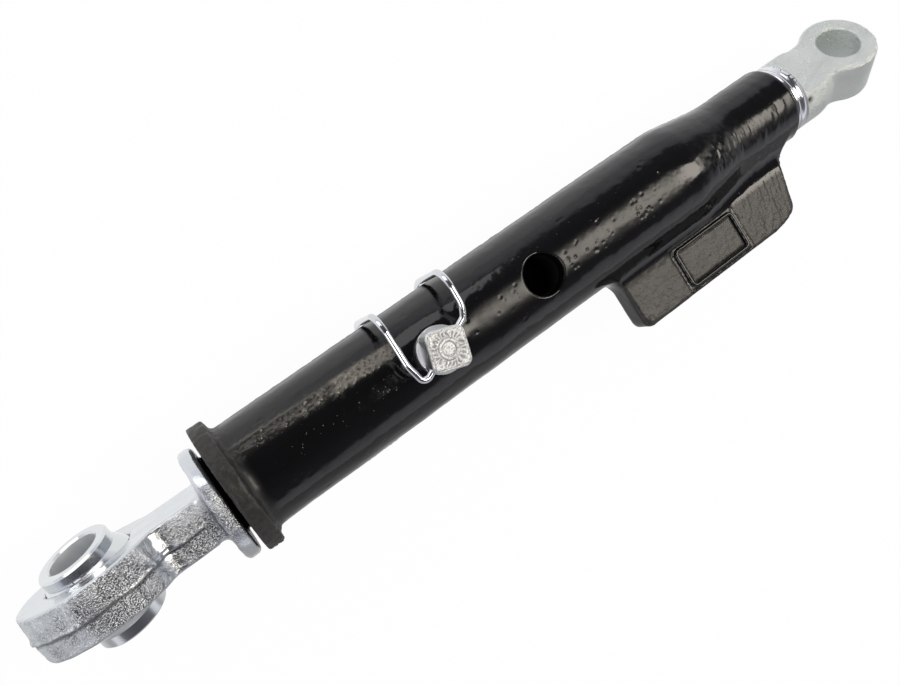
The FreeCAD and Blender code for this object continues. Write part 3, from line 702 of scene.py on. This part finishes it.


# Slide bar. A steel forging with draft on its sides, a flash line round them, and a grain
# that the scale left. It is zinc plated, and its round bar in the tube is greased and painted
# near black as shade, so the cross holes look dark inside.
def forged_half(node, axis, cut, keep_low, step):
    halves = []
    for clear_low in (False, True):
        shell = bmesh.new()
        shell.from_mesh(nodes[node].data)
        bmesh.ops.remove_doubles(shell, verts=shell.verts, dist=1e-6)
        parts = shell.verts[:] + shell.edges[:] + shell.faces[:]
        made = bmesh.ops.bisect_plane(
            shell, geom=parts, plane_co=Vector(axis) * cut * MM, plane_no=axis,
            clear_inner=clear_low, clear_outer=not clear_low)
        rim = [e for e in made["geom_cut"] if isinstance(e, bmesh.types.BMEdge)]
        bmesh.ops.contextual_create(shell, geom=rim)
        bmesh.ops.triangulate(shell, faces=[f for f in shell.faces if len(f.verts) > 4])
        mesh = bpy.data.meshes.new(node + "_half")
        shell.to_mesh(mesh)
        shell.free()
        halves.append(mesh)
    if not keep_low:
        halves.reverse()
    return fine_skin(halves[0], step), halves[1]


def edge_ends(mesh):
    edges = np.empty(len(mesh.edges) * 2, dtype=np.int64)
    mesh.edges.foreach_get("vertices", edges)
    return edges.reshape(-1, 2).T


def relaxed(mesh, p, weight, rounds):
    a, b = edge_ends(mesh)
    used = (weight[a] > 0.0) | (weight[b] > 0.0)
    count = np.bincount(a, minlength=len(p)) + np.bincount(b, minlength=len(p))
    a, b = a[used], b[used]
    moving = np.where(weight > 0.0)[0]
    for _ in range(rounds):
        total = np.zeros_like(p)
        np.add.at(total, a, p[b])
        np.add.at(total, b, p[a])
        pull = total[moving] / count[moving, None] - p[moving]
        p[moving] += pull * (0.6 * weight[moving])[:, None]
    return p


def smoothed(mesh, p, rounds, share):
    a, b = edge_ends(mesh)
    count = np.bincount(a, minlength=len(p)) + np.bincount(b, minlength=len(p))
    for _ in range(rounds):
        for amount in (share, -share * 1.03):
            total = np.zeros_like(p)
            np.add.at(total, a, p[b])
            np.add.at(total, b, p[a])
            p = p + (total / count[:, None] - p) * amount
    return p


def mesh_normals(mesh):
    flat = np.empty(len(mesh.vertices) * 3)
    mesh.vertices.foreach_get("normal", flat)
    return flat.reshape(-1, 3)


def boxed(p, node):
    low, high = (np.array(corner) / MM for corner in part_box(node))
    return np.clip(p, low, high)


def mark_plain(mesh):
    for name in ("rough", "recess_shade_and_specks"):
        mark(mesh, name, np.zeros(len(mesh.vertices)))


def one_piece(name, fine, plain):
    shell = bmesh.new()
    shell.from_mesh(fine)
    count = len(shell.faces)
    shell.from_mesh(plain)
    shell.faces.ensure_lookup_table()
    for index in range(count, len(shell.faces)):
        shell.faces[index].material_index = 1
    mesh = bpy.data.meshes.new(name)
    shell.to_mesh(mesh)
    shell.free()
    return mesh


ball_middle = np.array([-506.5, -2.7932, -0.1953])
seat_radius = 25.3
head_roll = math.radians(4.0)
head_drop = 2.8
head_cut = -437.0
head_step = 0.85
shank_half_width = 12.5
shank_half_height = 21.0
collar_face = -446.5
root_reach = 6.0
facet_low = -481.0
facet_high = -468.5


def along_head(p):
    low_y = p[:, 1] * math.cos(head_roll) + p[:, 2] * math.sin(head_roll)
    low_z = -p[:, 1] * math.sin(head_roll) + p[:, 2] * math.cos(head_roll)
    return low_y, low_z


head_mesh, bar_mesh = forged_half("slide_bar", (1.0, 0.0, 0.0), head_cut, True, head_step)
p = smoothed(head_mesh, places(head_mesh), 3, 0.5)
low_y, low_z = along_head(p)
off_side = np.abs(low_y + head_drop) - shank_half_width
off_shank = np.maximum(np.maximum(off_side, np.abs(low_z) - shank_half_height), 0.0)
off_collar = np.maximum(collar_face - p[:, 0], 0.0)
root = np.clip((root_reach - np.hypot(off_shank, off_collar)) / 2.5, 0.0, 1.0)
root *= p[:, 0] < collar_face + 0.5
p = relaxed(head_mesh, p, root, 60)
put_places(head_mesh, p)
out = mesh_normals(head_mesh)
low_y, low_z = along_head(p)
low_y = low_y + head_drop
out_y = along_head(out)[0]
from_ball = np.linalg.norm(p - ball_middle, axis=1)
seat = from_ball < seat_radius + 0.7
on_side = np.clip(1.25 - np.abs(out_y) * 2.2, 0.0, 1.0) * ~seat
on_collar = inside(p[:, 0], -452.0, -430.0, 4.0)
facet = inside(p[:, 0], facet_low, facet_high, 2.5)
grain = 0.05 * ripple(p, 2.4, 52) + 0.06 * ripple(p, 4.2, 53)
lift = 0.08 * ripple(p, 12.0, 51) + on_side * grain
flash_gap = low_y + 0.35 * ripple(p, 16.0, 54)
flash = bell(flash_gap, 0.8) * on_side * (1.0 - on_collar)
lift += flash * (0.85 + 0.16 * ripple(p, 3.0, 55))
shade_line = bell(flash_gap + 1.5, 0.8) * on_side * (1.0 - on_collar)
lift -= shade_line * 0.25
tip = np.hypot(p[:, 0] + 541.0, low_y) + np.abs(low_z - 12.0) * 0.4
lift += bell(tip, 2.2) * 0.6 * on_side
lift = np.where(seat, 0.0, lift)
lift *= np.where(p[:, 0] > -439.2, 0.0, 1.0)
p = p + out * lift[:, None]
gap = np.linalg.norm(p - ball_middle, axis=1)
pull = np.where(seat, seat_radius / gap, 1.0)
p = ball_middle + (p - ball_middle) * pull[:, None]
p = boxed(p, "slide_bar")
put_places(head_mesh, p)
rough = on_side * (1.0 - 0.75 * facet) * (1.0 - 0.7 * flash) + 0.08
mark(head_mesh, "rough", np.clip(rough, 0.0, 1.0))
# Painted shade along the groove under the flash line
mark(head_mesh, "recess_shade_and_specks", shade_line * 0.75)

# Dark stain in the grain mixed with painted shade: most on the housing's right, on the
# lower half under the flash line, where less light falls, and on the collar
x = p[:, 0]
stain_and_shade = np.where(x < -470.0, 0.30 + 0.70 * inside(x, -514.0, -484.0, 10.0), 0.62)
stain_and_shade += np.where(low_y < -0.5, 0.30, -0.05) * (x > -508.0)
stain_and_shade = np.where(x > -452.0, 0.35 + 0.6 * inside(low_y, -22.0, 2.0, 6.0), stain_and_shade)
stain_and_shade += 0.22 * ripple(p, 11.0, 56)
mark(head_mesh, "stain_and_shade", np.clip(stain_and_shade, 0.0, 1.0))
mark_plain(bar_mesh)
bar_piece = add_piece("forged_bar", one_piece("forged_bar", head_mesh, bar_mesh))
shade(bar_piece.data, 50.0)


def zinc(name, colour, roughness, grain, grain_depth, wave, wave_depth, follow=False):
    plate = bpy.data.materials.new(name)
    tree = shader_tree(plate)
    place = add_node(tree, "ShaderNodeTexCoord")
    rough = add_node(tree, "ShaderNodeAttribute", attribute_name="rough")
    lumps = add_node(tree, "ShaderNodeTexNoise", {
        "Vector": place.outputs["Object"], "Scale": wave, "Detail": 3.0, "Roughness": 0.5})
    speckle = add_node(tree, "ShaderNodeTexNoise", {
        "Vector": place.outputs["Object"], "Scale": grain, "Detail": 2.0, "Roughness": 0.6})
    speckle_height = speckle.outputs["Fac"]
    if follow:
        speckle_height = add_node(tree, "ShaderNodeMath", {
            0: speckle.outputs["Fac"], 1: rough.outputs["Fac"]}, operation="MULTIPLY").outputs[0]
    bumps = add_node(tree, "ShaderNodeBump", {
        "Height": lumps.outputs["Fac"], "Strength": 0.5, "Distance": wave_depth})
    bumps = add_node(tree, "ShaderNodeBump", {
        "Height": speckle_height, "Normal": bumps.outputs[0],
        "Strength": 0.8, "Distance": grain_depth})
    cloud = add_node(tree, "ShaderNodeTexNoise", {
        "Vector": place.outputs["Object"], "Scale": 35.0, "Detail": 4.0})
    tint = add_node(tree, "ShaderNodeMix", {
        0: cloud.outputs["Fac"],
        6: tuple(c * 0.86 for c in colour) + (1.0,),
        7: tuple(min(1.0, c * 1.08) for c in colour) + (1.0,)}, data_type="RGBA")
    if follow:
        spots = add_node(tree, "ShaderNodeMapRange", {
            "Value": speckle.outputs["Fac"], "From Min": 0.42, "From Max": 0.58,
            "To Min": 1.0, "To Max": 0.0})
        # Dark spots in the grain, more where the stain mark also paints shade
        stain_and_shade = add_node(tree, "ShaderNodeAttribute", attribute_name="stain_and_shade")
        share = add_node(tree, "ShaderNodeMath", {
            0: rough.outputs["Fac"], 1: stain_and_shade.outputs["Fac"]}, operation="MULTIPLY")
        share = add_node(tree, "ShaderNodeMath", {
            0: spots.outputs["Result"], 1: share.outputs[0]}, operation="MULTIPLY")
        tint = add_node(tree, "ShaderNodeMix", {
            0: share.outputs[0], 6: tint.outputs[2], 7: (0.03, 0.03, 0.032, 1.0)}, data_type="RGBA")
    # Painted shade in grooves and dents, dark grey
    recess_shade_and_specks = add_node(tree, "ShaderNodeAttribute", attribute_name="recess_shade_and_specks")
    tint = add_node(tree, "ShaderNodeMix", {
        0: recess_shade_and_specks.outputs["Fac"], 6: tint.outputs[2], 7: (0.04, 0.04, 0.045, 1.0)}, data_type="RGBA")
    dull = add_node(tree, "ShaderNodeMapRange", {
        "Value": cloud.outputs["Fac"], "From Min": 0.3, "From Max": 0.7,
        "To Min": roughness * 0.8, "To Max": roughness * 1.25})
    surface = add_node(tree, "ShaderNodeBsdfPrincipled", {
        "Base Color": tint.outputs[2], "Metallic": 1.0,
        "Roughness": dull.outputs["Result"], "Normal": bumps.outputs[0]})
    add_node(tree, "ShaderNodeOutputMaterial", {"Surface": surface.outputs[0]})
    return plate


def greased_steel_and_shade():
    steel = bpy.data.materials.new("greased_steel_and_shade")
    tree = shader_tree(steel)
    place = add_node(tree, "ShaderNodeTexCoord")
    smear = add_node(tree, "ShaderNodeTexNoise", {
        "Vector": place.outputs["Object"], "Scale": 70.0, "Detail": 4.0})
    # Near black, painted shade for the bar seen down the cross holes
    colour = ramp(tree, smear.outputs["Fac"], [
        (0.3, (0.003, 0.003, 0.003, 1.0)), (0.7, (0.010, 0.009, 0.008, 1.0))])
    dull = add_node(tree, "ShaderNodeMapRange", {
        "Value": smear.outputs["Fac"], "To Min": 0.3, "To Max": 0.6})
    surface = add_node(tree, "ShaderNodeBsdfPrincipled", {
        "Base Color": colour.outputs["Color"], "Roughness": dull.outputs["Result"],
        "Specular IOR Level": 0.0})
    add_node(tree, "ShaderNodeOutputMaterial", {"Surface": surface.outputs[0]})
    return steel


forging_plate = zinc(
    "zinc_forging", (0.70, 0.73, 0.76), 0.20, 1750.0, 0.00065, 90.0, 0.0012, follow=True)
dress(bar_piece, forging_plate, greased_steel_and_shade())
dress(nodes["slide_bar"], forging_plate)
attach(bar_piece, "bar")
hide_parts("slide_bar")

# Swivel ball. A bush turned from bar, with a ball-shaped middle and a collar on each side,
# polished by the tool and zinc plated. Its bore is left duller than its outside.
ball_shine = 0.13
ball_yaw = math.radians(4.5)
ball_tilt = math.radians(14.2)
ball_axis = (
    -math.sin(ball_yaw) * math.cos(ball_tilt), math.cos(ball_yaw) * math.cos(ball_tilt),
    math.sin(ball_tilt))
bore_reach = 12.85
ball_plate = zinc("turned_zinc", (0.74, 0.76, 0.77), ball_shine, 1800.0, 0.00004, 60.0, 0.0001)
tree = ball_plate.node_tree
surface = next(n for n in tree.nodes if n.type == "BSDF_PRINCIPLED")
place = add_node(tree, "ShaderNodeTexCoord")
offset = add_node(tree, "ShaderNodeVectorMath", {
    0: place.outputs["Object"], 1: tuple(ball_middle * MM)}, operation="SUBTRACT")
offset = add_node(tree, "ShaderNodeVectorMath", {
    0: offset.outputs[0], 1: ball_axis}, operation="CROSS_PRODUCT")
offset = add_node(tree, "ShaderNodeVectorMath", {0: offset.outputs[0]}, operation="LENGTH")
in_bore = add_node(tree, "ShaderNodeMath", {
    0: offset.outputs["Value"], 1: bore_reach * MM}, operation="LESS_THAN")
bore_dull = add_node(tree, "ShaderNodeMath", {
    0: in_bore.outputs[0], 1: 0.30, 2: ball_shine}, operation="MULTIPLY_ADD")
bore_metal = add_node(tree, "ShaderNodeMath", {
    0: in_bore.outputs[0], 1: -0.45, 2: 1.0}, operation="MULTIPLY_ADD")
tree.links.new(bore_dull.outputs[0], surface.inputs["Roughness"])
tree.links.new(bore_metal.outputs[0], surface.inputs["Metallic"])
dress(nodes["swivel_ball"], ball_plate)

# Lock pin. A round pin with a square forged head, zinc plated. The head's top is grainy, with
# a ring and short plain strokes struck into it by the forging die.
pin_x = hole_places[0]
head_turn = math.radians(-18.0)
pin_cut = 33.7
pin_step = 0.42
stroke_count = 23.0
groove_radii = (5.45, 3.4)
ring_radius = 4.45
border = 9.0
pin_head, pin_shaft = forged_half("lock_pin", (0.0, 0.0, 1.0), pin_cut, False, pin_step)
p = smoothed(pin_head, places(pin_head), 2, 0.5)
put_places(pin_head, p)
out = mesh_normals(pin_head)
dx = p[:, 0] - pin_x
dy = p[:, 1]
across = np.maximum(np.abs(dx * math.cos(head_turn) + dy * math.sin(head_turn)),
                    np.abs(dy * math.cos(head_turn) - dx * math.sin(head_turn)))
from_middle = np.hypot(dx, dy)
on_top = np.clip((out[:, 2] - 0.55) / 0.3, 0.0, 1.0) * (p[:, 2] > 44.0)
strokes = 0.5 + 0.5 * np.cos(stroke_count * np.arctan2(dy, dx) + 1.2 * ripple(p, 5.0, 71))
sunk = inside(from_middle, 6.0, 8.7, 0.7) * strokes * inside(across, -1.0, 8.4, 0.6)
sunk = np.maximum(sunk, 0.8 * bell(from_middle - groove_radii[0], 0.35))
sunk = np.maximum(sunk, 0.7 * bell(across - border, 0.35))
sunk = np.maximum(sunk, 0.7 * bell(from_middle - groove_radii[1], 0.35))
sunk *= on_top
ring_lift = 0.22 * bell(from_middle - ring_radius, 0.5)
lift = on_top * (ring_lift + 0.045 * ripple(p, 1.4, 72)) - 0.42 * sunk
lift += (1.0 - on_top) * 0.02 * ripple(p, 4.0, 73) * (p[:, 2] > 43.5)
p = p + out * lift[:, None]
p = boxed(p, "lock_pin")
put_places(pin_head, p)
mark(pin_head, "rough", np.clip(on_top, 0.0, 1.0))
specks = on_top * np.clip(0.8 * ripple(p, 1.1, 74) - 0.45, 0.0, 0.6)
# Painted shade in the struck strokes, ring and border grooves, with dark specks in the plate
mark(pin_head, "recess_shade_and_specks", np.clip(np.maximum(sunk * 0.8 - 0.1, specks), 0.0, 1.0))
mark_plain(pin_shaft)
pin_piece = add_piece("struck_pin", one_piece("struck_pin", pin_head, pin_shaft))
shade(pin_piece.data, 45.0)
pin_plate = zinc("zinc_pin", (0.88, 0.89, 0.89), 0.38, 1900.0, 0.0005, 200.0, 0.0002, follow=True)
dress(pin_piece, pin_plate, pin_plate)
dress(nodes["lock_pin"], pin_plate)
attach(pin_piece, "pin")
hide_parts("lock_pin")

# Wire clip. One spring wire, drawn smooth and zinc plated, bent through the pin's head and
# round the tube.
dress(nodes["wire_clip"], zinc("zinc_wire", (0.68, 0.70, 0.73), 0.12, 1500.0, 0.00003, 80.0, 0.0003))

# Screw eye. A forged eye on a screwed shank, with a soft bluish-grey plate, a machined bore
# and a turned rim where it meets the neck.
eye_cut = -47.7
eye_step = 0.8
eye_bore = 12.7
punch_place = np.array([-45.6, -8.4, 19.8])
eye_mesh, shank_mesh = forged_half("screw_eye", (1.0, 0.0, 0.0), eye_cut, False, eye_step)
p = smoothed(eye_mesh, places(eye_mesh), 3, 0.5)
put_places(eye_mesh, p)
out = mesh_normals(eye_mesh)
eye_roll = math.radians(39.0)
low_y = p[:, 1] * math.cos(eye_roll) - p[:, 2] * math.sin(eye_roll)
low_z = p[:, 1] * math.sin(eye_roll) + p[:, 2] * math.cos(eye_roll)
from_bore = np.hypot(p[:, 0], low_y)
bore = (from_bore < eye_bore + 0.5) & (np.abs(low_z) < 12.6)
out_z = out[:, 1] * math.sin(eye_roll) + out[:, 2] * math.cos(eye_roll)
edge_bumps = bell(out_z - 0.6, 0.3) * (from_bore > 17.0) * (p[:, 0] > -36.0) * (low_y < 0.0)
lift = 0.02 * ripple(p, 9.0, 61) + edge_bumps * 0.26 * ripple(p, 3.0, 63)
punch = np.linalg.norm(p - punch_place, axis=1)
lift -= bell(punch, 1.3) * 1.1
lift *= inside(p[:, 0], eye_cut + 0.4, 40.0, 0.8) * (from_bore > eye_bore + 1.7)
p = p + out * lift[:, None]
grow = np.where(bore, eye_bore / np.maximum(from_bore, 1.0), 1.0)
side_y = low_y * grow
p[:, 0] = np.where(bore, p[:, 0] * grow, p[:, 0])
shift = side_y - low_y
p[:, 1] += shift * math.cos(eye_roll)
p[:, 2] -= shift * math.sin(eye_roll)
p = boxed(p, "screw_eye")
put_places(eye_mesh, p)
mark(eye_mesh, "rough", np.clip(0.5 - bell(from_bore - eye_bore, 1.2) + edge_bumps, 0.0, 1.0))
# Painted shade in the punch mark's dent
mark(eye_mesh, "recess_shade_and_specks", bell(punch, 1.9))
mark_plain(shank_mesh)
eye_piece = add_piece("forged_eye", one_piece("forged_eye", eye_mesh, shank_mesh))
shade(eye_piece.data, 40.0)
eye_plate = zinc("zinc_eye", (0.74, 0.78, 0.76), 0.42, 1150.0, 0.0012, 120.0, 0.0003)
rim_plate = zinc("turned_rim", (0.80, 0.81, 0.84), 0.16, 1800.0, 0.00004, 60.0, 0.0002)
dress(eye_piece, eye_plate, rim_plate)
dress(nodes["screw_eye"], eye_plate)
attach(eye_piece, "eye")
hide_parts("screw_eye")

# Colours. The picture keeps plain colours.
bpy.context.scene.view_settings.view_transform = "Standard"


def plain(box):
    return [[float(c) for c in corner] for corner in box]
